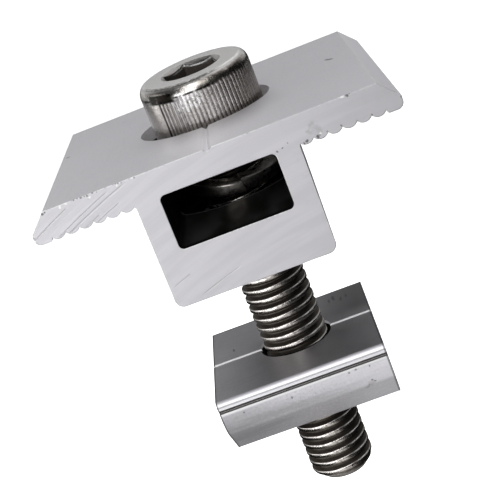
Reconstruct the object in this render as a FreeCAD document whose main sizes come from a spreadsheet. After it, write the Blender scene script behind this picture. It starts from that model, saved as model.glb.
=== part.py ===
"""Solar panel mid clamp: extruded clamp body, socket cap screw, split spring washer and channel nut.

The frame: Z runs up the screw, X across the two wings, Y along the clamp body's extrusion.
The origin is in the middle of the clamp body, level with the tips of the grip teeth under the wings.
"""
import FreeCAD, Part
import math
import os
import Sketcher
from FreeCAD import Vector

# Driving dimensions: millimetres, degrees and counts
SIZES = {
    # clamp body
    "clamp_length": 38.0,  # along the extrusion
    "nose_width": 39.9,  # over the tips of both wings
    "nose_bevel_width": 1.95,  # how far the bevel on a wing's end runs in over the top
    "flange_thickness": 3.3,  # from the tips of the teeth to the flat top
    "nose_bevel_height": 2.0,
    "nose_land_width": 1.85,  # least flat left between the last tooth and the wing's end
    "nose_radius": 0.75,  # lower corner of a wing's end
    "grip_depth": 0.4,  # height of a tooth
    "grip_pitch": 1.53,  # width of a tooth
    "grip_end_radius": 0.35,  # rounding of the last tooth, beside the nose
    "stem_width": 17.8,  # outside width of the hollow stem
    "stem_drop": 11.6,  # from the tips of the teeth down to the foot
    "stem_radius": 1.0,  # corners of the foot
    "channel_width": 12.6,  # hollow of the stem
    "channel_height": 6.1,
    "channel_roof": 2.9,  # metal between the flat top and the hollow
    "channel_radius": 0.6,
    "groove_width": 0.8,  # marking groove along the flat top
    "groove_depth": 0.35,
    "head_hole": 15.6,  # diameter of the cut that lets the head in
    "seat_depth": 2.0,  # how far that cut goes into the channel's floor
    "screw_hole": 9.0,  # clearance hole in the floor
    "screw_play": 0.36,  # how far the loose screw stands off the middle of that hole
    # socket cap screw
    "head_diameter": 13.0,
    "head_height": 8.0,
    "head_stand": 5.75,  # top of the head above the flat top, as it hangs
    "head_edge_radius": 1.4,
    "head_foot_chamfer": 0.25,
    "thread_diameter": 7.86,  # over the crests
    "screw_length": 45.5,  # under the head
    "tip_chamfer": 1.1,
    "tip_diameter": 5.8,
    "socket_width": 6.0,  # across the flats
    "socket_depth": 4.0,
    "socket_cone": 1.2,  # drilled point under the hexagon
    "socket_mouth_diameter": 7.3,  # diameter of the countersink
    "socket_turn": 44.5,  # turn of the hexagon about the screw, in degrees
    "knurl_ribs": 72,
    "knurl_depth": 0.2,
    "knurl_opening": 0.5,  # width of a groove at the surface
    "knurl_top": 1.55,  # where the ribs end below the top of the head
    "knurl_foot": 0.3,  # where they end above its foot
    # spring washer
    "washer_outer": 12.7,
    "washer_inner": 8.6,
    "washer_thickness": 1.5,
    "washer_coil_height": 0.3,  # climb of its one turn
    "washer_gap": 1.5,  # angle of the split, in degrees
    "washer_split": 272.0,  # where the split is, about the screw
    "washer_height": -3.7,  # middle of the washer, from the teeth's tips
    "washer_lean": 12.5,  # tilt, because it hangs on the thread
    "washer_lean_side": 318.0,  # direction of its low edge, about the screw
    # channel nut
    "nut_length": 20.2,  # along the rail
    "nut_width": 23.2,
    "nut_height": 8.1,
    "nut_foot_width": 13.6,
    "nut_top": -26.16,  # its top face, from the teeth's tips
    "nut_side": 3.6,  # height of the upright side, from the top face
    "nut_side_radius": 3.5,  # how softly the side turns into the chamfer
    "nut_shoulder": 0.75,  # radius of the top's long edges
    "nut_line_top": 0.95,  # groove in each side, from the top face
    "nut_line_width": 0.5,
    "nut_line_depth": 0.3,
    "nut_mark_width": 0.65,  # marking groove along the top face
    "nut_mark_floor": 0.4,  # width of its flat bottom
    "nut_mark_depth": 0.35,
    "nut_bore_offset": 0.5,  # how far the bore is off the middle of the length
    "thread_clearance": 0.05,  # between the screw and the nut's bore, on the radius
    "bore_chamfer": 0.5,
}

doc = FreeCAD.newDocument("mid_clamp")
sheet = doc.addObject("Spreadsheet::Sheet", "Sizes")
for row, (alias, value) in enumerate(SIZES.items(), 1):
    sheet.set(f"A{row}", alias)
    sheet.set(f"B{row}", str(value))
    sheet.setAlias(f"B{row}", alias)
doc.recompute()


def size(alias):
    """The value of one driving dimension."""
    return float(sheet.get(alias))


def evaluate(obj, expression):
    """The value that an expression has on the sheet, without its unit."""
    found = obj.evalExpression(expression)
    return float(getattr(found, "Value", found))


def new_body(label):
    made = doc.addObject("PartDesign::Body", label)
    made.Label = label
    return made


def origin_feature(body, role):
    return next(f for f in body.Origin.OriginFeatures if f.Role == role)


def new_sketch(body, name, role, offset=None):
    """A sketch on one of the body's origin planes, moved along the plane's normal by an expression."""
    made = body.newObject("Sketcher::SketchObject", name)
    made.AttachmentSupport = [(origin_feature(body, role), "")]
    made.MapMode = "FlatFace"
    if offset:
        made.setExpression("AttachmentOffset.Base.z", offset)
    doc.recompute()
    return made


def pin(sketch, geo, end, axis, expression, name):
    """Holds one end of a line or arc at a signed distance from the sketch's origin."""
    value = evaluate(sketch, expression)
    if abs(value) < 1e-9:
        line = {"DistanceX": -2, "DistanceY": -1}[axis]
        sketch.addConstraint(Sketcher.Constraint("PointOnObject", geo, end, line))
        return
    index = sketch.addConstraint(Sketcher.Constraint(axis, -1, 1, geo, end, value))
    sketch.renameConstraint(index, name)
    sketch.setExpression(f"Constraints.{name}", expression)


def draw_loop(sketch, label, points):
    """A closed outline of straight lines through points given as pairs of expressions."""
    places = [Vector(evaluate(sketch, x), evaluate(sketch, y), 0) for x, y in points]
    count = len(places)
    first = sketch.GeometryCount
    for i in range(count):
        sketch.addGeometry(Part.LineSegment(places[i], places[(i + 1) % count]), False)
    for i in range(count):
        following = first + (i + 1) % count
        sketch.addConstraint(Sketcher.Constraint("Coincident", first + i, 2, following, 1))
    for i, (x, y) in enumerate(points):
        pin(sketch, first + i, 1, "DistanceX", x, f"{label}_across_{i}")
        pin(sketch, first + i, 1, "DistanceY", y, f"{label}_up_{i}")


def draw_circle(sketch, label, diameter, x="0 mm"):
    """A circle on the sketch's horizontal axis."""
    centre = Vector(evaluate(sketch, x), 0, 0)
    geo = sketch.addGeometry(Part.Circle(centre, Vector(0, 0, 1), evaluate(sketch, diameter) / 2), False)
    pin(sketch, geo, 3, "DistanceX", x, f"{label}_across")
    sketch.addConstraint(Sketcher.Constraint("PointOnObject", geo, 3, -1))
    index = sketch.addConstraint(Sketcher.Constraint("Diameter", geo, evaluate(sketch, diameter)))
    sketch.renameConstraint(index, f"{label}_diameter")
    sketch.setExpression(f"Constraints.{label}_diameter", diameter)


def pad(body, sketch, name, length):
    """Material grown evenly to both sides of the sketch."""
    made = body.newObject("PartDesign::Pad", name)
    made.Profile = sketch
    made.SideType = "Symmetric"
    made.setExpression("Length", length)
    doc.recompute()
    return made


def pocket(body, sketch, name, length=None, symmetric=False, downward=True):
    """A cut from the sketch, through everything where no length is given."""
    before = body.Shape.Volume
    made = body.newObject("PartDesign::Pocket", name)
    made.Profile = sketch
    made.Reversed = not downward
    if symmetric:
        made.SideType = "Symmetric"
    if length is None:
        made.Type = "ThroughAll"
    else:
        made.setExpression("Length", length)
    doc.recompute()
    if not made.Shape.Volume < before - 1e-6:
        raise ValueError(f"{name} cuts nothing")
    return made


def edges_where(shape, test):
    """Names of the edges for which test(edge) holds."""
    return [f"Edge{i}" for i, edge in enumerate(shape.Edges, 1) if test(edge)]


def round_edges(body, base, name, test, radius, kind="PartDesign::Fillet"):
    """A fillet or chamfer on the edges of base that pass the test."""
    made = body.newObject(kind, name)
    made.Base = (base, edges_where(base.Shape, test))
    made.setExpression("Radius" if kind == "PartDesign::Fillet" else "Size", radius)
    doc.recompute()
    return made


def runs_along(edge, axis, *places):
    """True for a straight edge along X or Y that passes one of the given places in its cross plane."""
    start, end = edge.Vertexes[0].Point, edge.Vertexes[-1].Point
    across = {"x": ("y", "z"), "y": ("x", "z")}[axis]
    if any(abs(getattr(start, a) - getattr(end, a)) > 1e-6 for a in across):
        return False
    at = [abs(getattr(start, across[0])), getattr(start, across[1])]
    return any(math.dist(at, place) < 1e-4 for place in places)


# Clamp body: one length of extrusion, sawn off square and bored from above
clamp = new_body("clamp_body")
half_stem = size("stem_width") / 2
half_nose = size("nose_width") / 2
half_channel = size("channel_width") / 2
channel_top = size("flange_thickness") - size("channel_roof")
channel_floor = channel_top - size("channel_height")

STEM = "Sizes.stem_width / 2"
NOSE = "Sizes.nose_width / 2"
GRIP_WIDTH = "(Sizes.nose_width / 2 - Sizes.nose_land_width - Sizes.stem_width / 2)"
GRIP_TEETH = f"floor({GRIP_WIDTH} / Sizes.grip_pitch)"
GRIP_END = f"(Sizes.stem_width / 2 + {GRIP_TEETH} * Sizes.grip_pitch)"
CHANNEL_TOP = "Sizes.flange_thickness - Sizes.channel_roof"
CHANNEL_FLOOR = "(Sizes.flange_thickness - Sizes.channel_roof - Sizes.channel_height)"


def both_sides(right_half):
    """A closed outline from its right half, listed from the top down, mirrored to the left."""
    left_half = [(f"-({x})", y) for x, y in reversed(right_half)]
    return right_half + left_half


section = new_sketch(clamp, "clamp_section", "XZ_Plane")
draw_loop(
    section,
    "outside",
    both_sides(
        [
            (f"{NOSE} - Sizes.nose_bevel_width", "Sizes.flange_thickness"),
            (NOSE, "Sizes.flange_thickness - Sizes.nose_bevel_height"),
            (NOSE, "0 mm"),
            (GRIP_END, "0 mm"),
            (GRIP_END, "Sizes.grip_depth"),
            (STEM, "Sizes.grip_depth"),
            (STEM, "-Sizes.stem_drop"),
        ]
    ),
)
draw_loop(
    section,
    "channel",
    both_sides([("Sizes.channel_width / 2", CHANNEL_TOP), ("Sizes.channel_width / 2", CHANNEL_FLOOR)]),
)
extrusion = pad(clamp, section, "clamp_extrusion", "Sizes.clamp_length")

grip_end = evaluate(section, GRIP_END)
nose_round = round_edges(
    clamp,
    extrusion,
    "nose_rounding",
    lambda e: runs_along(e, "y", (half_nose, 0)),
    "Sizes.nose_radius",
)
grip_round = round_edges(
    clamp,
    nose_round,
    "grip_end_rounding",
    lambda e: runs_along(e, "y", (grip_end, 0)),
    "Sizes.grip_end_radius",
)
foot_round = round_edges(
    clamp,
    grip_round,
    "foot_rounding",
    lambda e: runs_along(e, "y", (half_stem, -size("stem_drop"))),
    "Sizes.stem_radius",
)
# The stem's flat side ends at the tips of the teeth, so a panel frame lies against it
corner_round = round_edges(
    clamp,
    foot_round,
    "stem_corner_rounding",
    lambda e: runs_along(e, "y", (half_stem, size("grip_depth"))),
    "Sizes.grip_depth",
)
channel_round = round_edges(
    clamp,
    corner_round,
    "channel_rounding",
    lambda e: runs_along(e, "y", (half_channel, channel_top), (half_channel, channel_floor)),
    "Sizes.channel_radius",
)


def grip_row(side, name):
    """The rounded teeth under one wing: one tooth, repeated from the stem out to the nose."""
    tooth = new_sketch(clamp, f"{name}_tooth", "XZ_Plane")
    near = f"{side} * ({STEM})"
    far = f"{side} * ({STEM} + Sizes.grip_pitch)"
    root = "Sizes.grip_depth"
    radius = "(Sizes.grip_pitch ^ 2 / 4 + Sizes.grip_depth ^ 2) / (2 * Sizes.grip_depth)"
    start = Vector(evaluate(tooth, near), evaluate(tooth, root), 0)
    end = Vector(evaluate(tooth, far), evaluate(tooth, root), 0)
    tip = Vector((start.x + end.x) / 2, 0, 0)
    arc = tooth.addGeometry(Part.Arc(start, tip, end), False)
    first, last = (1, 2) if (tooth.getPoint(arc, 1) - start).Length < 1e-6 else (2, 1)
    chord = tooth.addGeometry(Part.LineSegment(end, start), False)
    tooth.addConstraint(Sketcher.Constraint("Coincident", arc, last, chord, 1))
    tooth.addConstraint(Sketcher.Constraint("Coincident", arc, first, chord, 2))
    pin(tooth, chord, 2, "DistanceX", near, "near_across")
    pin(tooth, chord, 2, "DistanceY", root, "near_up")
    pin(tooth, chord, 1, "DistanceX", far, "far_across")
    pin(tooth, chord, 1, "DistanceY", root, "far_up")
    index = tooth.addConstraint(Sketcher.Constraint("Radius", arc, evaluate(tooth, radius)))
    tooth.renameConstraint(index, "tooth_radius")
    tooth.setExpression("Constraints.tooth_radius", radius)
    one = pad(clamp, tooth, f"{name}_first", "Sizes.clamp_length")
    row = clamp.newObject("PartDesign::LinearPattern", f"{name}_teeth")
    row.Originals = [one]
    row.Direction = (tooth, ["H_Axis"])
    row.Reversed = side < 0
    row.Mode = "Spacing"
    row.setExpression("Offset", "Sizes.grip_pitch")
    row.setExpression("Occurrences", GRIP_TEETH)
    clamp.Tip = row
    doc.recompute()


grip_row(1, "right_grip")
grip_row(-1, "left_grip")

groove = new_sketch(clamp, "top_groove_section", "XZ_Plane")
draw_loop(
    groove,
    "groove",
    [
        ("-Sizes.groove_width / 2", "Sizes.flange_thickness"),
        ("0 mm", "Sizes.flange_thickness - Sizes.groove_depth"),
        ("Sizes.groove_width / 2", "Sizes.flange_thickness"),
    ],
)
pocket(clamp, groove, "top_groove", "Sizes.clamp_length", symmetric=True)

head_cut = new_sketch(clamp, "head_hole_circle", "XY_Plane", "Sizes.flange_thickness")
draw_circle(head_cut, "head_hole", "Sizes.head_hole")
pocket(clamp, head_cut, "head_hole", "Sizes.channel_roof + Sizes.channel_height + Sizes.seat_depth")
screw_cut = new_sketch(clamp, "screw_hole_circle", "XY_Plane", CHANNEL_FLOOR)
draw_circle(screw_cut, "screw_hole", "Sizes.screw_hole")
pocket(clamp, screw_cut, "screw_hole")


# Socket cap screw: turned blank, broached hexagon, straight knurl round the head
screw = new_body("cap_screw")
HEAD_TOP = "(Sizes.flange_thickness + Sizes.head_stand)"
HEAD_FOOT = "(Sizes.flange_thickness + Sizes.head_stand - Sizes.head_height)"
TIP = "(Sizes.flange_thickness + Sizes.head_stand - Sizes.head_height - Sizes.screw_length)"
head_top = size("flange_thickness") + size("head_stand")
head_radius = size("head_diameter") / 2

blank = new_sketch(screw, "screw_half_section", "XZ_Plane")
draw_loop(
    blank,
    "half",
    [
        ("0 mm", HEAD_TOP),
        ("Sizes.head_diameter / 2", HEAD_TOP),
        ("Sizes.head_diameter / 2", f"{HEAD_FOOT} + Sizes.head_foot_chamfer"),
        ("Sizes.head_diameter / 2 - Sizes.head_foot_chamfer", HEAD_FOOT),
        ("Sizes.thread_diameter / 2", HEAD_FOOT),
        ("Sizes.thread_diameter / 2", f"{TIP} + Sizes.tip_chamfer"),
        ("Sizes.tip_diameter / 2", TIP),
        ("0 mm", TIP),
    ],
)
turned = screw.newObject("PartDesign::Revolution", "screw_blank")
turned.Profile = blank
turned.ReferenceAxis = (blank, ["V_Axis"])
turned.Angle = 360
doc.recompute()
round_edges(
    screw,
    turned,
    "head_rounding",
    lambda e: e.Curve.TypeId == "Part::GeomCircle"
    and abs(e.Curve.Radius - head_radius) < 1e-6
    and abs(e.Curve.Center.z - head_top) < 1e-6,
    "Sizes.head_edge_radius",
)

hexagon = new_sketch(screw, "socket_hexagon", "XY_Plane", HEAD_TOP)
corners = []
for corner in range(6):
    angle = f"(60 deg * {corner} + Sizes.socket_turn * 1 deg)"
    reach = "Sizes.socket_width / 2 / cos(30 deg)"
    corners.append((f"{reach} * cos({angle})", f"{reach} * sin({angle})"))
draw_loop(hexagon, "hexagon", corners)
pocket(screw, hexagon, "socket", "Sizes.socket_depth")

drill = new_sketch(screw, "socket_drill_half_section", "XZ_Plane")
draw_loop(
    drill,
    "drill",
    [
        ("0 mm", HEAD_TOP),
        ("Sizes.socket_mouth_diameter / 2", HEAD_TOP),
        ("Sizes.socket_width / 2", f"{HEAD_TOP} - (Sizes.socket_mouth_diameter - Sizes.socket_width) / 2"),
        ("Sizes.socket_width / 2", f"{HEAD_TOP} - Sizes.socket_depth"),
        ("0 mm", f"{HEAD_TOP} - Sizes.socket_depth - Sizes.socket_cone"),
    ],
)
drilled = screw.newObject("PartDesign::Groove", "socket_drilling")
drilled.Profile = drill
drilled.ReferenceAxis = (drill, ["V_Axis"])
drilled.Angle = 360
doc.recompute()

rib = new_sketch(screw, "knurl_groove_section", "XY_Plane", f"{HEAD_TOP} - Sizes.knurl_top")
draw_loop(
    rib,
    "knurl",
    [
        ("Sizes.head_diameter / 2 - Sizes.knurl_depth", "0 mm"),
        ("Sizes.head_diameter / 2 + Sizes.knurl_depth", "-Sizes.knurl_opening"),
        ("Sizes.head_diameter / 2 + Sizes.knurl_depth", "Sizes.knurl_opening"),
    ],
)
first_groove = pocket(screw, rib, "knurl_groove", "Sizes.head_height - Sizes.knurl_top - Sizes.knurl_foot")
knurl = screw.newObject("PartDesign::PolarPattern", "knurl")
knurl.Originals = [first_groove]
knurl.Axis = (rib, ["N_Axis"])
knurl.Angle = 360
knurl.setExpression("Occurrences", "Sizes.knurl_ribs")
screw.Tip = knurl
doc.recompute()


# Split spring washer: square wire coiled one left-handed turn, caught at a tilt on the thread
washer = new_body("spring_washer")
wire = new_sketch(washer, "washer_wire_section", "XZ_Plane")
draw_loop(
    wire,
    "wire",
    [
        ("Sizes.washer_inner / 2", "Sizes.washer_thickness / 2"),
        ("Sizes.washer_outer / 2", "Sizes.washer_thickness / 2"),
        ("Sizes.washer_outer / 2", "-Sizes.washer_thickness / 2"),
        ("Sizes.washer_inner / 2", "-Sizes.washer_thickness / 2"),
    ],
)
coil = washer.newObject("PartDesign::AdditiveHelix", "washer_coil")
coil.Profile = wire
coil.ReferenceAxis = (wire, ["V_Axis"])
coil.Mode = "pitch-turns-angle"
coil.LeftHanded = True
coil.setExpression("Pitch", "Sizes.washer_coil_height")
coil.setExpression("Turns", "(360 - Sizes.washer_gap) / 360")
doc.recompute()


# Channel nut: a second extrusion, sawn off and tapped through its top face
nut = new_body("channel_nut")
NUT_SIDE = "Sizes.nut_width / 2"
LINE_SIDE = "Sizes.nut_width / 2 - Sizes.nut_line_depth"
LINE_TOP = "Sizes.nut_top - Sizes.nut_line_top"
LINE_FOOT = "Sizes.nut_top - Sizes.nut_line_top - Sizes.nut_line_width"
NUT_FOOT = "(Sizes.nut_top - Sizes.nut_height)"
MARK_FLOOR = "Sizes.nut_top - Sizes.nut_mark_depth"
nut_section = new_sketch(nut, "nut_section", "YZ_Plane", "-Sizes.nut_bore_offset")
draw_loop(
    nut_section,
    "nut",
    both_sides(
        [
            ("Sizes.nut_mark_floor / 2", MARK_FLOOR),
            ("Sizes.nut_mark_width / 2", "Sizes.nut_top"),
            (NUT_SIDE, "Sizes.nut_top"),
            (NUT_SIDE, LINE_TOP),
            (LINE_SIDE, f"{LINE_TOP} - Sizes.nut_line_width / 4"),
            (LINE_SIDE, f"{LINE_FOOT} + Sizes.nut_line_width / 4"),
            (NUT_SIDE, LINE_FOOT),
            (NUT_SIDE, "Sizes.nut_top - Sizes.nut_side"),
            ("Sizes.nut_foot_width / 2", NUT_FOOT),
        ]
    ),
)
nut_extrusion = pad(nut, nut_section, "nut_extrusion", "Sizes.nut_length")
half_nut = size("nut_width") / 2
shoulders = round_edges(
    nut,
    nut_extrusion,
    "nut_shoulders",
    lambda e: runs_along(e, "x", (half_nut, size("nut_top"))),
    "Sizes.nut_shoulder",
)
round_edges(
    nut,
    shoulders,
    "nut_side_rounding",
    lambda e: runs_along(e, "x", (half_nut, size("nut_top") - size("nut_side"))),
    "Sizes.nut_side_radius",
)
bore_cut = new_sketch(nut, "nut_bore_circle", "XY_Plane", "Sizes.nut_top")
draw_circle(bore_cut, "nut_bore", "Sizes.thread_diameter + 2 * Sizes.thread_clearance")
pocket(nut, bore_cut, "nut_bore")
mouths = new_sketch(nut, "nut_mouth_half_section", "XZ_Plane")
BORE = "(Sizes.thread_diameter / 2 + Sizes.thread_clearance)"
draw_loop(
    mouths,
    "upper",
    [
        ("0 mm", "Sizes.nut_top"),
        (f"{BORE} + Sizes.bore_chamfer", "Sizes.nut_top"),
        ("0 mm", f"Sizes.nut_top - {BORE} - Sizes.bore_chamfer"),
    ],
)
draw_loop(
    mouths,
    "lower",
    [
        ("0 mm", NUT_FOOT),
        (f"{BORE} + Sizes.bore_chamfer", NUT_FOOT),
        ("0 mm", f"{NUT_FOOT} + {BORE} + Sizes.bore_chamfer"),
    ],
)
countersinks = nut.newObject("PartDesign::Groove", "nut_mouths")
countersinks.Profile = mouths
countersinks.ReferenceAxis = (mouths, ["V_Axis"])
countersinks.Angle = 360
doc.recompute()

# The loose screw stands off the middle of its hole and takes the nut along
for hung in (screw, nut):
    hung.setExpression("Placement.Base.x", "Sizes.screw_play * 1 mm")

# The washer's place: split turned to its side, tilted, and lifted onto the thread
low_side = math.radians(size("washer_lean_side"))
lean_axis = Vector(-math.sin(low_side), math.cos(low_side), 0)
lean = FreeCAD.Rotation(lean_axis, size("washer_lean"))
turn = FreeCAD.Rotation(Vector(0, 0, 1), size("washer_split") - size("washer_gap") / 2)
half_coil = FreeCAD.Placement(Vector(0, 0, -size("washer_coil_height") / 2), FreeCAD.Rotation())
washer_middle = Vector(size("screw_play"), 0, size("washer_height"))
washer.Placement = FreeCAD.Placement(washer_middle, lean * turn).multiply(half_coil)
doc.recompute()

bodies = [clamp, screw, washer, nut]
failed = [o.Name for o in doc.Objects if any(s in ("Invalid", "Error") for s in o.State)]
if failed:
    raise ValueError(f"failed features: {failed}")
os.makedirs("parts", exist_ok=True)
for body in bodies:
    shape = body.Shape
    if shape.isNull() or not shape.isValid() or len(shape.Solids) != 1:
        raise ValueError(f"{body.Label} is not one valid solid")
    box = shape.BoundBox
    print(f"{body.Label}: {shape.Volume:.1f} mm3, x {box.XMin:.2f}..{box.XMax:.2f}", end="")
    print(f", y {box.YMin:.2f}..{box.YMax:.2f}, z {box.ZMin:.2f}..{box.ZMax:.2f}")
    shape.exportStep(f"parts/{body.Label}.step")
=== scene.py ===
import math
import random

import bpy
from mathutils import Matrix, Vector


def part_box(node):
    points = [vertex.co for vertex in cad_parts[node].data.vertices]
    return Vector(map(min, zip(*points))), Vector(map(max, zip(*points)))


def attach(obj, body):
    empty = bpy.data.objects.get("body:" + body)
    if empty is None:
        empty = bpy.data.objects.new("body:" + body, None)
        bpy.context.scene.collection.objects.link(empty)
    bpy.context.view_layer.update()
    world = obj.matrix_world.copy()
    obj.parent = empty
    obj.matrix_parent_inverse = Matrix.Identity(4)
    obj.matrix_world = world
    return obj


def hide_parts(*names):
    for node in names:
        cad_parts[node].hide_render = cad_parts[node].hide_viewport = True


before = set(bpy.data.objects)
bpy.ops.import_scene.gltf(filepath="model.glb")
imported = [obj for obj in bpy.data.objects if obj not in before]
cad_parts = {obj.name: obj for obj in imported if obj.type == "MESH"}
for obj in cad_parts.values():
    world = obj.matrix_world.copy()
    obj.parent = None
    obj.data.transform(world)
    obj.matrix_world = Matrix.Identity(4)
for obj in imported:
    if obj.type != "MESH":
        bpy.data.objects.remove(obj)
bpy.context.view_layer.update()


# Clamp body: one length of mill-finish aluminium extrusion, sawn off square at both ends.
# The circular saw leaves long arcs and a ragged burr on the cut faces, the hole for the screw's head is
# bored down from the top, and the hollow of the stem is painted dark, a painted shade. All sizes are in
# millimetres.
MM = 0.001
CUT_END = 19.0
FLAT_TOP = 3.3
HOLLOW_ROOF = 0.4
HOLLOW_FLOOR = -5.7
HEAD_HOLE = 7.8
BLADE_CENTRE = (16.5, -72.0)


class Varying:
    """A quantity that varies over a surface. Arithmetic on it adds Math nodes to the finish's tree."""

    def __init__(self, tree, socket=None):
        self.tree = tree
        self.socket = socket

    def node(self, kind, settings=None, inputs=None, output=0):
        """Any node: its kind, its settings, then values or links by socket, and the output to read."""
        made = self.tree.nodes.new(kind)
        for name, value in (settings or {}).items():
            setattr(made, name, value)
        for name, value in (inputs or {}).items():
            if isinstance(value, Varying):
                self.tree.links.new(value.socket, made.inputs[name])
            else:
                made.inputs[name].default_value = value
        return Varying(self.tree, made.outputs[output])

    def maths(self, operation, *others):
        return self.node("ShaderNodeMath", {"operation": operation}, dict(enumerate((self, *others))))

    def __add__(self, other):
        return self.maths("ADD", other)

    def __sub__(self, other):
        return self.maths("SUBTRACT", other)

    def __rsub__(self, other):
        return self.maths("MULTIPLY_ADD", -1.0, other)

    def __mul__(self, other):
        return self.maths("MULTIPLY", other)

    def __truediv__(self, other):
        return self.maths("DIVIDE", other)

    def __pow__(self, other):
        return self.maths("POWER", other)

    def __or__(self, other):
        return self.maths("MAXIMUM", other)

    def __abs__(self):
        return self.maths("ABSOLUTE")

    __radd__ = __add__
    __rmul__ = __mul__

    def rising(self, start, end):
        """0 before start and 1 past end, with a soft change between; start may be the higher one."""
        inputs = {"Value": self, "From Min": start, "From Max": end}
        return self.node("ShaderNodeMapRange", {"interpolation_type": "SMOOTHSTEP"}, inputs)


def millimetres(tree):
    """The place on the piece, in millimetres: as a vector, and as x, y and z."""
    start = Varying(tree)
    place = start.node("ShaderNodeTexCoord", output="Object")
    place = start.node("ShaderNodeVectorMath", {"operation": "SCALE"}, {0: place, "Scale": 1 / MM})
    return place, *[start.node("ShaderNodeSeparateXYZ", inputs={0: place}, output=axis) for axis in "XYZ"]


def stretched(place, scale):
    """The place with each axis scaled, so that a grain can run along one of them."""
    return place.node("ShaderNodeVectorMath", {"operation": "MULTIPLY"}, {0: place, 1: scale})


def grain(place, size, detail=2.0, roughness=0.5):
    """Soft random variation between about 0.3 and 0.7, with features of that size."""
    inputs = {"Vector": place, "Scale": 1 / size, "Detail": detail, "Roughness": roughness}
    return place.node("ShaderNodeTexNoise", None, inputs)


def ragged(place, size, throw):
    """The place shaken by a grain, so that a mask made from it has a torn outline."""
    inputs = {"Vector": place, "Scale": 1 / size, "Detail": 3.0}
    shake = place.node("ShaderNodeTexNoise", None, inputs, output=1)
    shake = place.node("ShaderNodeVectorMath", {"operation": "SUBTRACT"}, {0: shake, 1: (0.5, 0.5, 0.5)})
    shake = stretched(shake, (throw, throw, throw))
    return place.node("ShaderNodeVectorMath", {"operation": "ADD"}, {0: place, 1: shake})


def blend(mask, under, over):
    """Colour over where the mask is 1, colour under where it is 0."""
    return mask.node("ShaderNodeMix", {"data_type": "RGBA"}, {0: mask, 6: under, 7: over}, output=2)


def grey(level, warmth=0.0):
    """A nearly neutral colour; warmth above 0 leans to brown, below 0 to blue."""
    return (level * (1 + warmth), level, level * (1 - warmth), 1)


def alloy(level):
    """Bare aluminium of that brightness, with its faint violet cast."""
    return (level * 1.015, level, level * 1.045, 1)


def spots(place, marks):
    """1 inside any of the small marks, given as x, y, z and size."""
    found = None
    for *centre, size in marks:
        reach = place.node("ShaderNodeVectorMath", {"operation": "DISTANCE"}, {0: place, 1: centre}, output=1)
        mark = reach.rising(size, size * 0.4)
        found = mark if found is None else found | mark
    return found


def new_finish(name, metallic, specular=0.5):
    """An empty finish: the material, its tree and its shader, whose constant sockets are set here."""
    made = bpy.data.materials.new(name)
    made.use_nodes = True
    shader = made.node_tree.nodes["Principled BSDF"]
    shader.inputs["Metallic"].default_value = metallic
    shader.inputs["Specular IOR Level"].default_value = specular
    return made, made.node_tree, shader


def wire_up(shader, colour, roughness, height, depth, edge=0.12, metal=None):
    """Joins colour, roughness and relief to the shader; sharp edges are eased by the edge radius in mm."""
    tree = colour.tree
    if metal:
        tree.links.new(metal.socket, shader.inputs["Metallic"])
    eased = colour.node("ShaderNodeBevel", {"samples": 6}, {"Radius": edge * MM})
    inputs = {"Strength": 1.0, "Distance": depth * MM, "Height": height, "Normal": eased}
    relief = colour.node("ShaderNodeBump", None, inputs)
    tree.links.new(colour.socket, shader.inputs["Base Color"])
    tree.links.new(roughness.socket, shader.inputs["Roughness"])
    tree.links.new(relief.socket, shader.inputs["Normal"])


def lit_and_shaded_edges(start, reach):
    """Masks for painted highlight and painted shade on sharp edges: those that look up or left, and those
    that look down or right.
    """
    eased = start.node("ShaderNodeBevel", {"samples": 6}, {"Radius": reach * MM})
    flat = start.node("ShaderNodeNewGeometry", output="True Normal")
    dot = {"operation": "DOT_PRODUCT"}
    facing = start.node("ShaderNodeVectorMath", dot, {0: eased, 1: flat}, output=1)
    on_an_edge = (1 - facing).rising(0.005, 0.10)
    lean = start.node("ShaderNodeVectorMath", dot, {0: eased, 1: (0.5, 0, -0.85)}, output=1)
    return on_an_edge * lean.rising(0.1, -0.1), on_an_edge * lean.rising(0.1, 0.3)


def saw_track(across, up, centre):
    """Distance from the middle of the saw blade, and turn about it."""
    from_across = across - centre[0]
    from_up = up - centre[1]
    reach = (from_across * from_across + from_up * from_up) ** 0.5
    return reach, from_across.maths("ARCTAN2", from_up)


def saw_grain(track, width, length, detail=2.0):
    """A grain drawn out along the saw's arcs."""
    reach, turn = track
    blade_radius = 80
    inputs = {"X": reach / width, "Y": turn * (blade_radius / length)}
    return grain(reach.node("ShaderNodeCombineXYZ", None, inputs), 1.0, detail, 0.55)


def saw_scores(track, centre, scores):
    """1 along deep scores of the saw, each from one place to another on the cut face, with its width."""
    reach, turn = track
    found = None
    for start, end, width in scores:
        radii = [math.dist(start, centre), math.dist(end, centre)]
        turns = [math.atan2(across - centre[0], up - centre[1]) for across, up in (start, end)]
        half = abs(turns[1] - turns[0]) / 2
        beside = abs(reach - sum(radii) / 2).rising(width, width * 0.2)
        along = abs(turn - sum(turns) / 2).rising(half, half * 0.8)
        score = beside * along
        found = score if found is None else found | score
    return found


body, tree, shader = new_finish("mill_aluminium", 0.85, 0.1)
place, x, y, z = millimetres(tree)
torn = ragged(place, 0.5, 0.5)
sand = grain(place, 0.16, 2, 0.7)
flecks = grain(place, 0.5, 3, 0.6)
sawn = abs(y).rising(CUT_END - 0.07, CUT_END - 0.02)
front = y.rising(0.1 - CUT_END, 0.02 - CUT_END)
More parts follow.
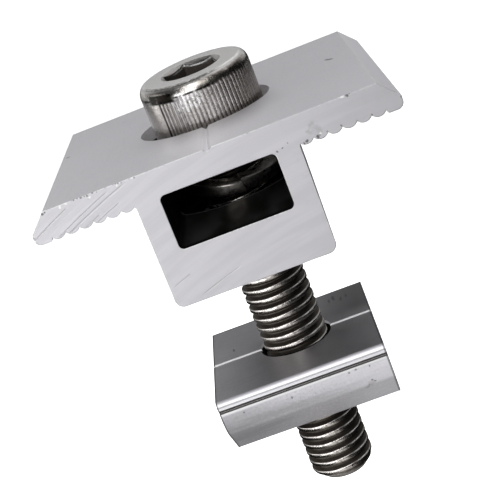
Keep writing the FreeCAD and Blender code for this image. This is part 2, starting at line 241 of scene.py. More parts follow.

# The drawn surface has faint die lines and patches, and its bevels are painted lighter, a painted highlight.
die_lines = grain(stretched(place, (1, 0.03, 1)), 0.3, 2, 0.6)
patches = grain(place, 7.0, 2, 0.5)
pale = blend(sand.rising(0.3, 0.7), alloy(0.63), alloy(0.70))
pale = blend(die_lines.rising(0.55, 0.75) * 0.12, pale, alloy(0.52))
pale = blend(patches.rising(0.4, 0.65) * 0.25, pale, alloy(0.70))
flat = place.node("ShaderNodeNewGeometry", output="True Normal")
inputs = {0: flat, 1: (0.72, 0, 0.69)}
slope = place.node("ShaderNodeVectorMath", {"operation": "DOT_PRODUCT"}, inputs, output=1)
pale = blend(slope.rising(0.90, 0.94) * 0.9, pale, alloy(0.98))

# The cut faces carry the saw's arcs, coarser towards the left wing, with a few deep scores.
track = saw_track(x, z, BLADE_CENTRE)
fine = saw_grain(track, 0.16, 5, 3)
broad = saw_grain(track, 1.1, 16)
lines = saw_grain(track, 0.42, 12).rising(0.6, 0.7)
deep = saw_scores(
    track,
    BLADE_CENTRE,
    [
        ((-20.0, 0.4), (-15.4, 3.0), 0.10),
        ((-18.3, -0.7), (-16.4, 0.7), 0.09),
        ((-17.6, -0.1), (-10.8, 3.0), 0.10),
        ((-16.6, -0.3), (-8.8, 3.3), 0.14),
        ((-14.4, -0.2), (-12.6, 1.2), 0.07),
        ((-13.2, -0.1), (-10.2, 1.6), 0.07),
        ((-8.4, -9.4), (-6.2, -8.2), 0.08),
        ((-6.2, -11.2), (-1.0, -9.4), 0.08),
    ],
)
streaked = x.rising(-3, -12)
stained = grain(place, 1.2, 4, 0.6).rising(0.55, 0.75) * x.rising(4, 9)
cut = blend(broad.rising(0.38, 0.62), alloy(0.66), alloy(0.70))
cut = blend(fine.rising(0.6, 0.4) * (0.07 + 0.12 * streaked), cut, alloy(0.58))
cut = blend(lines * (0.02 + 0.10 * streaked), cut, alloy(0.45))
cut = blend(stained * 0.12, cut, alloy(0.45))
# Painted shade: the cut face is painted darker towards the right wing.
cut = blend(x.rising(7, 20) * 0.46, cut, alloy(0.52))
cut = blend(deep * front * 0.30, cut, alloy(0.33))
skin = blend(sawn, pale, cut)

# The bored wall of the head's hole is painted bright, brightest to the right, a painted highlight; lower down
# on its left it is painted dark, a painted shadow of the head.
bore = (x * x + y * y) ** 0.5
in_hole = bore.rising(HEAD_HOLE + 0.12, HEAD_HOLE + 0.06)
in_hole = in_hole * z.rising(FLAT_TOP - 0.01, FLAT_TOP - 0.1) * z.rising(0.3, 0.6)
bored = in_hole * (z.rising(1.74, 1.84) | x.rising(0, 3))
hole_wall = blend(sand.rising(0.3, 0.7), alloy(0.72), alloy(0.84))
skin = blend(in_hole, skin, grey(0.03))
skin = blend(bored, skin, blend(x.rising(2, 6), hole_wall, alloy(1.0)))

# The stem's hollow is painted dark as painted shade, mottled, and black at the mouth, on the left wall and
# behind the washer, with one painted gleam near the front and a painted highlight on the lip where the head's
# cut breaks the floor.
hollow = abs(x).rising(8.4, 8.3) * abs(y).rising(CUT_END - 0.02, CUT_END - 0.1)
hollow = hollow * z.rising(HOLLOW_ROOF + 0.06, HOLLOW_ROOF + 0.02) * z.rising(-7.8, -7.75)
shade_mottle = grain(stretched(place, (1, 0.3, 1)), 2.6, 3, 0.55).rising(0.36, 0.64)
gleam = spots(stretched(place, (1, 0.25, 1)), [(0.2, -2.7, HOLLOW_FLOOR, 2.0)])
lip = abs(bore - HEAD_HOLE - 0.3).rising(0.22, 0.05) * y.rising(-3.0, -5.0) * z.rising(-5.0, -5.4)
hollow_shading = blend(shade_mottle, grey(0.006, 0.05), grey(0.030, 0.0))
hollow_shading = blend(y.rising(-17.6, -18.4), hollow_shading, grey(0.003))
hollow_shading = blend(x.rising(-5.6, -6.25) | y.rising(-8.5, -7.0), hollow_shading, grey(0.006))
hollow_shading = blend(gleam ** 4 * shade_mottle.rising(-0.6, 1) * 0.9, hollow_shading, grey(0.15, 0.14))
hollow_shading = blend(lip * 0.8, hollow_shading, grey(0.22))
skin = blend(hollow, skin, hollow_shading)

# Edges that look up or to the left get a painted highlight broken into flecks, those that look down or right
# get painted shade, and a torn burr along the cut's top gets painted shade in its flecks.
highlit_edges, shaded_edges = lit_and_shaded_edges(place, 0.2)
lit = x.rising(7.5, 4.0) | x.rising(8.5, 9.5) * y.rising(-19.2, -18.5)
highlit_edges = highlit_edges * (1 - hollow) * lit
outlined = x.rising(6.5, 8.0) | x.rising(-19.4, -19.8)
burr = highlit_edges * y.rising(-18.5, -18.8) * z.rising(2.9, 3.1)
skin = blend(highlit_edges * flecks.rising(0.42, 0.5) * 0.75, skin, grey(0.95))
skin = blend(shaded_edges * front * outlined * 0.85, skin, grey(0.05))
skin = blend(burr * flecks.rising(0.4, 0.36) * 0.8, skin, grey(0.1))


def on_front(marks):
    """Marks on the front cut face, each given as across, up and size."""
    return [(across, -CUT_END, up, size) for across, up, size in marks]


burr_gap_shade = on_front(
    [
        (-18.0, 3.05, 0.2), (-17.7, 3.15, 0.15), (-14.5, 3.32, 0.13), (-14.1, 3.28, 0.12),
        (-13.7, 3.26, 0.15), (-13.3, 3.22, 0.13), (-13.0, 3.18, 0.15), (-12.4, 3.22, 0.13),
        (-12.0, 3.2, 0.13), (-9.6, 3.3, 0.12), (-9.3, 3.24, 0.12), (-7.9, 3.18, 0.12),
        (14.9, 3.25, 0.22), (15.15, 3.3, 0.14),
    ]
)
tooth_valley_shade = on_front(
    [
        (10.85, 0.35, 0.24), (11.1, 0.45, 0.14), (9.7, 0.35, 0.2), (9.4, 0.2, 0.14),
        (6.5, 0.4, 0.14), (7.1, 0.6, 0.1), (7.8, 0.8, 0.1), (11.9, 0.5, 0.14),
        (13.4, 0.55, 0.16), (15.0, 0.45, 0.16), (16.6, 0.45, 0.14),
    ]
)
wing_tip_shade = on_front(
    [
        (20.0, 0.75, 0.17), (19.85, 1.15, 0.12), (20.0, 0.45, 0.12),
        (-19.9, 1.0, 0.2), (-19.9, 0.3, 0.2),
    ]
)
knocks_on_top = [
    (-17.3, 4.7, FLAT_TOP, 0.3), (15.0, 3.1, FLAT_TOP, 0.38),
    (15.25, 2.6, FLAT_TOP, 0.42), (15.5, 2.3, FLAT_TOP, 0.34),
]
edge_glints = on_front(
    [
        (-16.1, 3.07, 0.22), (-15.4, 3.2, 0.16), (-12.9, 2.95, 0.17), (-9.8, 3.05, 0.17),
        (-8.1, 3.3, 0.22), (14.45, 3.35, 0.3), (11.2, 0.6, 0.2),
    ]
)
smudge = spots(torn, on_front([(10.7, 1.5, 0.8), (11.0, 1.0, 0.7), (10.3, 1.2, 0.5)]))
skin = blend(smudge * flecks.rising(0.3, 0.7) * 0.35, skin, alloy(0.25))
# Painted shade in the burr's gaps, in the tooth valleys and at the wing tips; the knocks on top are dark
# marks.
skin = blend(spots(torn, burr_gap_shade + tooth_valley_shade + wing_tip_shade + knocks_on_top) * 0.75, skin, grey(0.05))
# Painted glints on the burr and the teeth.
skin = blend(spots(torn, edge_glints) * 0.8, skin, grey(1.0))
dullness = 0.48 + 0.06 * sawn + 0.06 * sand
height = sand * 0.2 * (1 - sawn) + sawn * (fine * 0.25 + broad * 0.3 - deep * 0.5)
wire_up(shader, skin, dullness, height, 0.05, metal=0.85 - 0.85 * (in_hole | hollow))
clamp_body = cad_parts["clamp_body"]
clamp_body.data.materials.clear()
clamp_body.data.materials.append(body)


# Channel nut: a length of a smaller, chamfered aluminium extrusion, tapped through its top face.
# Mill finish, darker than the clamp, with die lines along the rail's direction, a marking groove down
# the top and two fine lines along each side; its ends are sawn and its bore is ringed with painted shade.
nut_low, nut_high = [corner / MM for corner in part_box("channel_nut")]
nut_middle = (nut_low.x + nut_high.x) / 2
nut_half = (nut_high.x - nut_low.x) / 2
screw_low, screw_high = [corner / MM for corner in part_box("cap_screw")]
SCREW_PLAY = (screw_low.x + screw_high.x) / 2

nut_finish, tree, shader = new_finish("nut_aluminium", 0.9, 0.0)
place, x, y, z = millimetres(tree)
torn = ragged(place, 0.4, 0.4)
sand = grain(place, 0.16, 2, 0.7)
below_top = nut_high.z - z
nut_sawn = abs(x - nut_middle).rising(nut_half - 0.06, nut_half - 0.02)
on_top = below_top.rising(0.06, 0.02)
side = abs(y).rising(10.9, 11.1)
rolled = below_top.rising(1.6, 1.9)

# The drawn surface: die lines along the length, cloudy patches, a shoulder on the top's long edges painted
# bright as a painted highlight, and a sandy, softly waved side below the groove.
die_lines = grain(stretched(place, (0.02, 1, 1)), 0.22, 2, 0.6)
patches = grain(place, 3.5, 3, 0.5)
mottle = grain(place, 0.35, 3, 0.7)
waves = grain(stretched(place, (0.12, 1, 1)), 1.6, 2, 0.5)
shoulder = below_top.rising(0.04, 0.12) * below_top.rising(1.0, 0.92) * abs(y).rising(9.8, 10.0)
pale = blend(sand.rising(0.3, 0.7), alloy(0.48), alloy(0.56))
pale = blend(die_lines.rising(0.52, 0.72) * 0.3, pale, alloy(0.36))
pale = blend(patches.rising(0.4, 0.65) * 0.3, pale, alloy(0.60))
pale = blend(shoulder * 0.8, pale, alloy(1.0))
# Painted shade: the top is darker towards the right and towards the back.
pale = blend(on_top * x.rising(0, 9) * (0.42 + 0.48 * y.rising(0, 4)), pale, alloy(0.13))
pale = blend(on_top * y.rising(0, 7) * 0.25, pale, alloy(0.25))
# Painted light on the side's upper part.
pale = blend(below_top.rising(3.8, 1.6) * side * 0.6, pale, alloy(0.95))
pale = blend(mottle.rising(0.52, 0.7) * rolled * 0.28, pale, alloy(0.28))
pale = blend(mottle.rising(0.46, 0.32) * rolled * 0.30, pale, alloy(0.95))
pale = blend(waves.rising(0.5, 0.68) * below_top.rising(1.8, 3.0) * 0.35, pale, alloy(0.30))
# Painted shade on the side towards the left, and painted light towards the right.
pale = blend(rolled * x.rising(0, -9) * 0.42, pale, alloy(0.25))
pale = blend(rolled * x.rising(0, 9) * 0.45, pale, alloy(0.95))

# The sawn ends; along each side a fine line and a groove painted dark as painted shade, with the groove's
# lips painted bright as painted highlights; and the marking groove down the top, its far wall painted bright
# as a painted highlight.
fine = saw_grain(saw_track(y, z, (6.0, -105.0)), 0.2, 5, 3)
hairline = abs(below_top - 0.58).rising(0.11, 0.03) * side
groove = abs(below_top - 1.2).rising(0.25, 0.19) * side
lips = (abs(below_top - 0.86).rising(0.12, 0.04) | abs(below_top - 1.54).rising(0.14, 0.04)) * side
marking = abs(y).rising(0.34, 0.3) * below_top.rising(0.03, 0.08) * below_top.rising(0.6, 0.5)
cut = blend(fine.rising(0.6, 0.4) * 0.4, alloy(0.58), alloy(0.45))
skin = blend(nut_sawn, pale, cut)
skin = blend(lips * 0.7, skin, grey(1.0))
skin = blend(hairline * 0.5, skin, grey(0.2))
skin = blend(groove, skin, grey(0.075, 0.06))
skin = blend(marking * y.rising(0.1, 0.2), skin, grey(1.0))

# Edges with painted highlight and painted shade, the burrs that the saw leaves along both ends, black painted
# shade round the bore, and painted shade along the top's rear edge.
highlit_edges, shaded_edges = lit_and_shaded_edges(place, 0.16)
right_burr = x.rising(nut_high.x - 0.26, nut_high.x - 0.22) * (1 - nut_sawn)
left_burr = x.rising(nut_low.x + 0.20, nut_low.x + 0.14) * (1 - nut_sawn)
from_bore = ((x - SCREW_PLAY) * (x - SCREW_PLAY) + (y + 0.4) * (y + 0.4)) ** 0.5
bore_shade = from_bore.rising(4.47, 4.39)
rear_edge = on_top * y.rising(10.55, 10.7)
skin = blend(highlit_edges * 0.5, skin, grey(0.9))
skin = blend(shaded_edges * nut_sawn * 0.8, skin, grey(0.08))
skin = blend(right_burr * 0.7, skin, grey(0.12))
skin = blend(left_burr * 0.8, skin, grey(0.06))
skin = blend(bore_shade, skin, grey(0.008))
skin = blend(rear_edge * 0.6, skin, grey(0.15))

# Knocks. The place is squeezed along y, so that a mark is found at any depth of the rounded side.
squeezed = stretched(torn, (1, 0.2, 1))
smudges = spots(squeezed, [(7.1, -2.2, -30.4, 0.6), (6.5, -2.2, -30.9, 0.4), (7.4, -2.2, -30.1, 0.3)])
nicks = spots(
    squeezed,
    [
        (7.3, -2.2, -29.9, 0.16), (7.6, -2.2, -30.2, 0.18), (6.9, -2.2, -30.5, 0.14),
        (6.7, -2.2, -30.8, 0.18), (4.6, -2.2, -30.9, 0.18), (5.3, -2.2, -30.9, 0.14),
        (9.9, -2.0, -31.6, 0.24), (7.6, -2.3, -28.0, 0.14), (6.0, -2.3, -27.9, 0.14),
        (5.2, -2.3, -27.95, 0.14), (-1.8, -2.3, -28.5, 0.16), (-7.5, -2.3, -28.2, 0.14),
        (-7.5, 0.6, -26.2, 0.16), (5.4, 1.6, -26.2, 0.2), (6.0, 1.7, -26.2, 0.26),
        (6.9, 1.5, -26.2, 0.2), (7.6, 1.6, -26.2, 0.16),
    ],
)
skin = blend(smudges * 0.3, skin, grey(0.2, 0.12))
skin = blend(nicks * 0.7, skin, grey(0.08))
dullness = 0.36 + 0.12 * nut_sawn + 0.08 * sand + 0.2 * marking + 0.14 * side
height = die_lines * 0.2 * (1 - nut_sawn) + nut_sawn * fine * 0.5 + sand * 0.15 - hairline * 1.5
wire_up(shader, skin, dullness, height, 0.04, metal=0.9 - 0.9 * (bore_shade | groove))
channel_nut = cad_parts["channel_nut"]
channel_nut.data.materials.clear()
channel_nut.data.materials.append(nut_finish)


# Cap screw: cold-headed stainless steel with an M8 thread rolled right up to the head.
# The head has a straight knurl pressed round it, a rounded rim, a broached hexagon socket with a
# narrow countersink, and a plain flat top. The socket and the thread's roots are painted dark, as painted
# shade.
HEAD_LEAN = math.radians(3.6)
RISE_OF_LEAN = 0.36
HEAD_HEIGHT = 8.0
HEAD_TOP = screw_high.z - RISE_OF_LEAN
HEAD_FOOT = screw_high.z - HEAD_HEIGHT
SCREW_TIP = screw_low.z
HEAD_RADIUS = 6.5
FLAT_RADIUS = 5.55
RIM_DROP = 1.3
FOOT_CHAMFER = 0.25
KNURL_RIBS = 80
KNURL_FOOT = 0.3
HALF_FLATS = 3.0
HEXAGON_TURN = math.radians(44.6)
SOCKET_DEPTH = 4.0
MOUTH_RADIUS = 3.56
COUNTERSINK_SLOPE = 0.6
CREST = 3.93
ROOT = 3.30
PITCH = 1.25
CREST_TURN = math.radians(-111.7)
CREST_HEIGHT = -18.05


def new_piece(name, corners, faces, finish):
    """A smooth-shaded mesh piece from corners in millimetres."""
    mesh = bpy.data.meshes.new(name)
    mesh.from_pydata([Vector(corner) * MM for corner in corners], [], faces)
    mesh.polygons.foreach_set("use_smooth", [True] * len(mesh.polygons))
    mesh.materials.append(finish)
    mesh.update()
    piece = bpy.data.objects.new(name, mesh)
    bpy.context.collection.objects.link(piece)
    return piece


def ring_faces(rows, count):
    """Faces between rings of count corners each, from the first ring outwards."""
    made = []
    for row in range(rows - 1):
        low = row * count
        for i in range(count):
            j = (i + 1) % count
            made.append((low + i, low + j, low + count + j, low + count + i))
    return made


def hexagon_reach(angle):
    """Distance from the screw's axis to the socket's wall."""
    turned = (angle - HEXAGON_TURN) % (math.pi / 3)
    return HALF_FLATS / math.cos(turned - math.pi / 6)


def screw_head():
    """Rings from the drilled point of the socket, over the rim and down the knurl to the foot."""
    per_rib = 8
    count = KNURL_RIBS * per_rib
    turns = [math.tau * i / count for i in range(count)]
    corners = []
    rows = 0

    def ring(radii, heights):
        nonlocal rows
        for turn, radius, height in zip(turns, radii, heights):
            corners.append((radius * math.cos(turn), radius * math.sin(turn), height))
        rows += 1

    walls = [hexagon_reach(turn) for turn in turns]

    def countersunk(share, below=0.0):
        """A ring that share of the way from the hexagon to the mouth, that much below the countersink."""
        radii = [wall + (MOUTH_RADIUS - wall) * share for wall in walls]
        drops = [(MOUTH_RADIUS - radius) * COUNTERSINK_SLOPE for radius in radii]
        ring(radii, [HEAD_TOP - drop - below for drop in drops])

    drilled_point = ((SOCKET_DEPTH + 1.2, 0.001), (SOCKET_DEPTH + 0.05, 0.97))
    wall_rings = ((SOCKET_DEPTH, 1.0), (SOCKET_DEPTH - 0.1, 1.0), (1.2, 1.0))
    for depth, share in drilled_point + wall_rings:
        ring([wall * share for wall in walls], [HEAD_TOP - depth] * count)
    for share, below in ((0.0, 0.13), (0.01, 0.06), (0.06, 0.015), (0.12, 0.0), (0.92, 0.0)):
        countersunk(share, below)
    ring([MOUTH_RADIUS] * count, [HEAD_TOP] * count)
    top_of_ribs = HEAD_TOP - RIM_DROP
    foot_of_ribs = HEAD_FOOT + KNURL_FOOT
    outline = [(radius, HEAD_TOP) for radius in (MOUTH_RADIUS + 0.04, 4.2, FLAT_RADIUS - 0.06)]
    for step in range(13):
        turn = math.pi / 2 * step / 12
        outward = FLAT_RADIUS + (HEAD_RADIUS - FLAT_RADIUS) * math.sin(turn)
        outline.append((outward, top_of_ribs + RIM_DROP * math.cos(turn)))
    drops = [0.05, 0.15, 0.3, 0.5, 0.75] + [0.75 + 0.3 * step for step in range(1, 18)]
    levels = [top_of_ribs - drop for drop in drops]
    outline += [(HEAD_RADIUS, level) for level in levels if level > foot_of_ribs + 0.1]
    outline += [(HEAD_RADIUS, foot_of_ribs), (HEAD_RADIUS - 0.03, HEAD_FOOT + 0.22)]
    outline += [(HEAD_RADIUS - inset, HEAD_FOOT) for inset in (FOOT_CHAMFER, 0.45, HEAD_RADIUS - ROOT)]
    chance = random.Random(5)
    narrow = (0.0, 0.0, 0.0, 0.45, 1.0, 0.45, 0.0, 0.0)
    wide = (0.0, 0.1, 0.75, 1.0, 1.0, 1.0, 0.75, 0.1)
    ribs = []
    for rib in range(KNURL_RIBS):
        degrees = 360 * rib / KNURL_RIBS
        depth = 0.14 + 0.06 * chance.random()
        start = (-0.1 if 180 < degrees < 245 else -0.4) + 0.35 * chance.random()
        rubbed_smooth = 185 < degrees < 225
        if rubbed_smooth:
            depth *= max(0.0, abs(degrees - 205) - 16) / 4
        deeply_cut = 225 <= degrees < 252
        ribs.append((depth * (1.4 if deeply_cut else 1.0), start, wide if deeply_cut else narrow))
    for radius, height in outline:
        radii = []
        for i in range(count):
            depth, start, groove = ribs[i // per_rib]
            cut = 0.0
            if foot_of_ribs <= height < top_of_ribs + 0.4:
                run_in = (top_of_ribs - height - start) / 0.6
                run_out = (height - foot_of_ribs) / 0.25
                cut = depth * max(0.0, min(1.0, run_in, run_out))
            radii.append(radius - cut * groove[i % per_rib])
        ring(radii, [height] * count)
    return corners, ring_faces(rows, count)


def screw_thread():
    """Rings that climb with the thread, one pitch a turn, cut off flat at the head and the tip."""
    count = 96
    profile = [(-0.20, 0.95), (-0.16, 0.995), (0.0, 1.0), (0.16, 0.995), (0.20, 0.95), (0.24, 0.82)]
    profile += [(0.38, 0.18), (0.44, 0.04), (0.5, 0.0), (0.56, 0.04), (0.62, 0.18), (0.76, 0.82)]
    tip_radius, tip_slope = 2.75, 1.05
    corners = []
    first = math.floor((SCREW_TIP - CREST_HEIGHT) / PITCH) - 1
    last = math.ceil((HEAD_FOOT - CREST_HEIGHT) / PITCH) + 1
    for turn in range(first, last + 1):
        for shift, share in profile:
            closing = turn == first and shift == profile[0][0]
            for i in range(count):
                angle = CREST_TURN + math.tau * i / count
                height = CREST_HEIGHT + (turn + shift + i / count) * PITCH
                clipped = min(max(height, SCREW_TIP), HEAD_FOOT + 0.3)
                run = clipped - SCREW_TIP
                fade = min(1.0, max(0.0, (run - 0.1) / 0.7))
                reach = min(ROOT + (CREST - ROOT) * share * fade, tip_radius + run * tip_slope)
                if closing:
                    reach = 0.01
                corners.append((reach * math.cos(angle), reach * math.sin(angle), clipped))
    rows = (last + 1 - first) * len(profile)
    climb = len(profile) * count
    faces = []
    for low, beside, above_beside, above in ring_faces(rows, count):
        if low % count < count - 1:
            faces.append((low, beside, above_beside, above))
        elif above_beside + climb < rows * count:
            faces.append((low, beside + climb, above_beside + climb, above))
    return corners, faces


steel, tree, shader = new_finish("rolled_stainless_steel", 1.0)
place, x, y, z = millimetres(tree)
torn = ragged(place, 0.6, 0.9)
clouds = grain(place, 1.4, 4, 0.6)
drawn = grain(stretched(place, (1, 1, 0.2)), 0.3, 2, 0.5)
sand = grain(place, 0.14, 2, 0.7)
scuffs = grain(place, 0.35, 3, 0.7)
from_axis = (x * x + y * y) ** 0.5
below_top = HEAD_TOP - z
threaded = z.rising(HEAD_FOOT + 0.1, HEAD_FOOT - 0.1)
on_head = 1 - threaded
on_front = y.rising(-1.0, -3.0)

# Bare steel, cloudy and scuffed, and turned to a satin finish on the flat top.
satin = below_top.rising(0.5, 0.02)
metal = blend(clouds.rising(0.35, 0.65), grey(0.52, 0.05), grey(0.68, 0.04))
metal = blend(scuffs.rising(0.48, 0.62) * 0.45, metal, grey(0.16, 0.12))
metal = blend(satin, metal, blend(sand.rising(0.3, 0.7), grey(0.62, 0.01), grey(0.72, 0.01)))

# The thread: a painted highlight on the crests in front, painted shade on its left and right and in the
# roots, and on each crest painted shade on the lower edge and a painted highlight on the upper edge. The part
# of a turn is 0 in the middle of a crest and grows upwards.
front_highlight = threaded * scuffs.rising(0.6, 0.5) * x.rising(-3.0, -2.2) * x.rising(2.2, 0.8)
near_tip = z.rising(SCREW_TIP + 1.0, SCREW_TIP + 0.5)
roots = from_axis.rising(CREST - 0.01, CREST - 0.11) * threaded * (1 - 0.28 * near_tip)
turn = (y.maths("ARCTAN2", x) - CREST_TURN) / math.tau
part_of_turn = ((z - CREST_HEIGHT) / PITCH - turn).maths("FRACT")
lower_edge = part_of_turn.rising(0.76, 0.80) * part_of_turn.rising(0.98, 0.90) * threaded
upper_edge = part_of_turn.rising(0.08, 0.12) * part_of_turn.rising(0.22, 0.17) * threaded
upper_edge = upper_edge * (x.rising(1.2, 2.6) | x.rising(-1.6, -2.6) * 0.5)
metal = blend(front_highlight * 0.6, metal, grey(0.85, 0.06))
metal = blend(threaded * x.rising(-2.0, -3.0) * 0.75, metal, grey(0.14, 0.16))
metal = blend(threaded * x.rising(0.8, 2.6) * 0.2, metal, grey(0.14, 0.16))
metal = blend(roots * 0.92, metal, grey(0.045, 0.22))
metal = blend(lower_edge * 0.75, metal, grey(0.09, 0.2))
metal = blend(upper_edge * scuffs.rising(0.38, 0.46), metal, grey(1.0, 0.02))

# The head's side and rim: a painted highlight in front, painted shade on the smooth left, on the rim's left
# and right and on the side's right, and painted shade in the knurl's grooves, lighter in the middle.
on_side = from_axis.rising(5.9, 6.0) * below_top.rising(1.2, 1.5)
knurled = from_axis.rising(6.46, 6.38) * on_side
middle = x.rising(-5.0, -3.0) * x.rising(3.5, 1.0)
front_glare = spots(torn, [(-1.9, -6.2, HEAD_TOP - 1.9, 1.7), (-0.5, -6.5, HEAD_TOP - 1.9, 1.4)])
smooth = x.rising(-4.1, -4.8) * below_top.rising(0.2, 0.6) * (0.12 + 0.22 * x.rising(-6.4, -6.0))
rim = from_axis.rising(5.7, 5.9) * below_top.rising(1.5, 1.2) * below_top.rising(0.2, 0.4) * on_front
rim_left = rim * x.rising(-2.2, -3.4) * x.rising(-5.6, -4.8)
rim_right = rim * x.rising(-0.2, 1.0) * clouds.rising(0.3, 0.5)
metal = blend(front_glare * scuffs.rising(0.62, 0.50) * 0.95, metal, grey(1.0, 0.01))
metal = blend(smooth, metal, grey(0.22, 0.06))
metal = blend(rim_left * 0.55, metal, grey(0.2, 0.1))
metal = blend(rim_right * 0.72, metal, grey(0.10, 0.16))
metal = blend(on_side * x.rising(1.5, 5.0) * 0.62, metal, grey(0.12, 0.18))
metal = blend(knurled * (0.95 - 0.62 * middle), metal, grey(0.018, 0.16))

# Painted shade in lines where the flat top bends into the rim and where the rim meets the ribs, painted shade
# on the rim's band at the left, and a dark mark on its right.
bend = from_axis.rising(5.57, 5.66) * from_axis.rising(6.05, 5.96) * on_front * x.rising(4.0, 1.5)
seam = below_top.rising(1.30, 1.22) * below_top.rising(1.0, 1.08) * x.rising(3.0, 1.5)
rim_band_shade = below_top.rising(1.75, 1.45) * below_top.rising(0.45, 0.65)
rim_band_shade = rim_band_shade * x.rising(-1.8, -3.0) * x.rising(-5.6, -5.1) * 1.1
seam_and_rim_shade = (seam * clouds.rising(0.3, 0.5) | rim_band_shade * clouds.rising(0.25, 0.4)) * y.rising(-2.0, -3.0)
dark_mark = spots(torn, [(5.3, -3.7, HEAD_TOP - 1.25, 0.4), (5.6, -3.3, HEAD_TOP - 1.45, 0.35)])
metal = blend(bend * scuffs.rising(0.7, 0.45) * 0.85, metal, grey(0.06, 0.16))
metal = blend(seam_and_rim_shade * 0.95, metal, grey(0.008, 0.16))
metal = blend(dark_mark * 0.7, metal, grey(0.06, 0.16))

# The socket: a countersink and walls painted dark as painted shade, and under its far edge a line of painted
# shade and a line of painted highlight.
cone = from_axis.rising(MOUTH_RADIUS + 0.01, MOUTH_RADIUS - 0.03) * on_head
socket = from_axis.rising(3.5, 3.47) * below_top.rising(0.42, 0.55) * on_head
under_cone = below_top - (MOUTH_RADIUS - from_axis) * COUNTERSINK_SLOPE
far_side = from_axis.rising(3.52, 3.48) * y.rising(0.5, 1.5) * x.rising(-2.5, -1.5) * on_head
far_edge_shade = under_cone.rising(0.005, 0.03) * under_cone.rising(0.13, 0.10) * far_side
far_edge_highlight = under_cone.rising(0.10, 0.14) * under_cone.rising(0.34, 0.28) * far_side
metal = blend(cone * 0.6, metal, grey(0.22, 0.08))
metal = blend(socket * 0.9, metal, grey(0.09, 0.14))
metal = blend(far_edge_shade * 0.9, metal, grey(0.02))
metal = blend(far_edge_highlight, metal, grey(1.0))
dullness = 0.16 + 0.12 * clouds + 0.18 * satin + 0.28 * (roots | socket) + 0.08 * scuffs
height = clouds * 0.5 + drawn * 0.3 + scuffs * 0.7 + sand * 0.3
wire_up(shader, metal, dullness, height, 0.03, 0.04, metal=1 - 0.8 * upper_edge)

head = new_piece("screw_head", *screw_head(), steel)
thread = new_piece("screw_thread", *screw_thread(), steel)
thread.location.x = SCREW_PLAY * MM
neck = Vector((0, 0, HEAD_FOOT * MM))
neck_in_place = Matrix.Translation(neck + Vector((SCREW_PLAY * MM, 0, 0)))
head.matrix_world = neck_in_place @ Matrix.Rotation(HEAD_LEAN, 4, "X") @ Matrix.Translation(-neck)
for piece in (head, thread):
    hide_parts("cap_screw")
    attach(piece, "screw")


# Spring washer: square stainless wire coiled one left-handed turn and cut off at a slant, so that it
# springs. It hangs on the screw's thread inside the clamp's hollow, tilted, with its split in front.
def washer_coil():
    """Rings of a rounded wire section along one turn, from one slanted end face to the other."""
    inner, outer, thick, climb = 4.3, 6.35, 1.5, 0.3
    edge_radius = 0.25
    middle = (inner + outer) / 2
    half_wide = (outer - inner) / 2
    section = []
    for corner_x, corner_z, start in ((1, 1, 0), (-1, 1, 90), (-1, -1, 180), (1, -1, 270)):
        for step in range(5):
            turn = math.radians(start + 22.5 * step)
            across = middle + corner_x * (half_wide - edge_radius) + edge_radius * math.cos(turn)
            up = corner_z * (thick / 2 - edge_radius) + edge_radius * math.sin(turn)
            section.append((across, up))
    count = len(section)
    steps = 120
    slanted_part = 12
    split, gap, slant = math.radians(282), math.radians(0.04), math.radians(5)
    shares = [0.0, 0.0002] + [step / steps for step in range(1, steps)] + [0.9998, 1.0]
    corners = []
    for share in shares:
        near_end = max(0.0, 1 - share * slanted_part) + max(0.0, 1 - (1 - share) * slanted_part)
        for across, up in section:
            angle = split - gap / 2 - (math.tau - gap) * share - slant * near_end * up / thick
            height = up + climb * (share - 0.5)
            corners.append((across * math.cos(angle), across * math.sin(angle), height))
    faces = [tuple(reversed(face)) for face in ring_faces(len(shares), count)]
    last = (len(shares) - 1) * count
    faces.append(tuple(range(count)))
    faces.append(tuple(reversed(range(last, last + count))))
    low_side, tilt, hang = math.radians(318), math.radians(12.5), -3.7
    tilted = Matrix.Rotation(tilt, 4, (-math.sin(low_side), math.cos(low_side), 0))
    tilted = Matrix.Translation((SCREW_PLAY, 0, hang)) @ tilted
    return [tilted @ Vector(corner) for corner in corners], faces


washer_steel, tree, shader = new_finish("washer_wire", 1.0)
place, x, y, z = millimetres(tree)
clouds = grain(place, 0.9, 4, 0.6)
metal = blend(clouds.rising(0.35, 0.65), grey(0.62, 0.05), grey(0.9, 0.05))
# Painted shade: the wire is painted darker towards the left.
metal = blend(x.rising(-1.2, -3.2) * 0.85, metal, grey(0.12, 0.1))
wire_up(shader, metal, 0.22 + 0.14 * clouds, clouds, 0.03, 0.05)
washer = new_piece("split_washer", *washer_coil(), washer_steel)
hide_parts("spring_washer")
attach(washer, "washer")


# Studio: a plain pale floor and backdrop, lit as in a light tent by softboxes all round.
# The floor only shows itself to the camera, so that it throws no light or reflection on the metal.
AIM = Vector((0, 0, -0.012))
FLOOR_REACH = 3000
FLOOR_LEVEL = -90


def soft_light(name, direction, distance, width, height, power):
    """A rectangular softbox that faces the clamp from that direction."""
    lamp = bpy.data.lights.new(name, "AREA")
    lamp.shape = "RECTANGLE"
    lamp.size = width
    lamp.size_y = height
    lamp.energy = power
    made = bpy.data.objects.new(name, lamp)
    made.location = AIM + Vector(direction).normalized() * distance
    made.rotation_euler = (AIM - made.location).to_track_quat("-Z", "Y").to_euler()
    bpy.context.collection.objects.link(made)


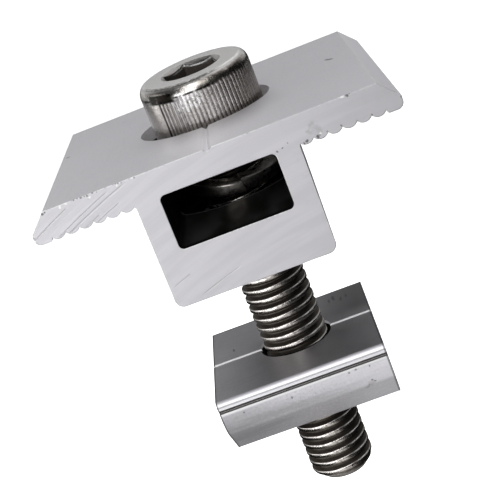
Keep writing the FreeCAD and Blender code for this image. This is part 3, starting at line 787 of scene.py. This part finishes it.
soft_light("softbox_back_left_low", (-0.65, 0.75, 0.10), 0.34, 0.22, 0.10, 0.025)
soft_light("softbox_back_left", (-0.55, 0.70, 0.45), 0.30, 0.22, 0.20, 0.078)
soft_light("softbox_back_right", (0.55, 0.70, 0.45), 0.30, 0.22, 0.20, 0.086)
soft_light("softbox_back_high", (0.0, 0.62, 0.78), 0.30, 0.24, 0.22, 0.199)
soft_light("softbox_left", (-1.0, 0.0, 0.15), 0.30, 0.22, 0.22, 0.39)
soft_light("softbox_under", (0.0, 0.1, -1.0), 0.30, 0.24, 0.24, 0.10)
soft_light("softbox_under_front", (0.0, -0.5, -0.87), 0.30, 0.24, 0.24, 0.20)
soft_light("softbox_front_left_low", (-0.68, -0.72, -0.10), 0.30, 0.22, 0.18, 0.306)
soft_light("softbox_front_low", (-0.10, -0.90, -0.40), 0.32, 0.24, 0.20, 0.083)
soft_light("softbox_front", (-0.25, -0.95, 0.2), 0.40, 0.22, 0.22, 0.235)
soft_light("softbox_front_high", (0.0, -0.75, 0.66), 0.30, 0.22, 0.22, 0.442)
soft_light("softbox_overhead_right", (0.55, 0.0, 0.83), 0.30, 0.22, 0.22, 0.156)

paper, tree, shader = new_finish("white_paper", 0.0)
start = Varying(tree)
fibre = grain(start.node("ShaderNodeTexCoord", output="Object"), 0.01)
tone = blend(fibre, grey(0.97), grey(1.0))
tree.links.new(tone.socket, shader.inputs["Base Color"])
tree.links.new(tone.socket, shader.inputs["Emission Color"])
shader.inputs["Emission Strength"].default_value = 1.2
shader.inputs["Roughness"].default_value = 1.0
corners = [(a * FLOOR_REACH, b * FLOOR_REACH, FLOOR_LEVEL) for a, b in ((-1, -1), (1, -1), (1, 1), (-1, 1))]
floor = new_piece("floor", corners, [(0, 1, 2, 3)], paper)
floor.visible_diffuse = False
floor.visible_glossy = False
floor.visible_shadow = False

world = bpy.data.worlds.new("studio")
bpy.context.scene.world = world
world.use_nodes = True
tree = world.node_tree
start = Varying(tree)
seen = start.node("ShaderNodeLightPath", output="Is Camera Ray")
room = tree.nodes["Background"]
tone = blend(seen, grey(0.012), grey(1.3))
tree.links.new(tone.socket, room.inputs["Color"])
bpy.context.scene.view_settings.view_transform = "Standard"

# The camera stands where the clamp's straight edges, as photographed, place it.
eye = bpy.data.objects.new("camera", bpy.data.cameras.new("camera"))
eye.data.sensor_width = 36
eye.data.lens = 96.574
eye.data.shift_x = 0.1201
eye.data.shift_y = 0.1361
eye.data.clip_start = 0.01
eye.data.clip_end = 20
right = Vector((0.93101355, 0.0014886, -0.36498159))
up = Vector((0.34323484, 0.33647168, 0.87691314))
back = Vector((0.12411134, -0.94169241, 0.31274875))
stand = Vector((0.0093528, -0.1514588, 0.0310787))
eye.matrix_world = Matrix.Translation(stand) @ Matrix((right, up, back)).transposed().to_4x4()
bpy.context.collection.objects.link(eye)
bpy.context.scene.camera = eye
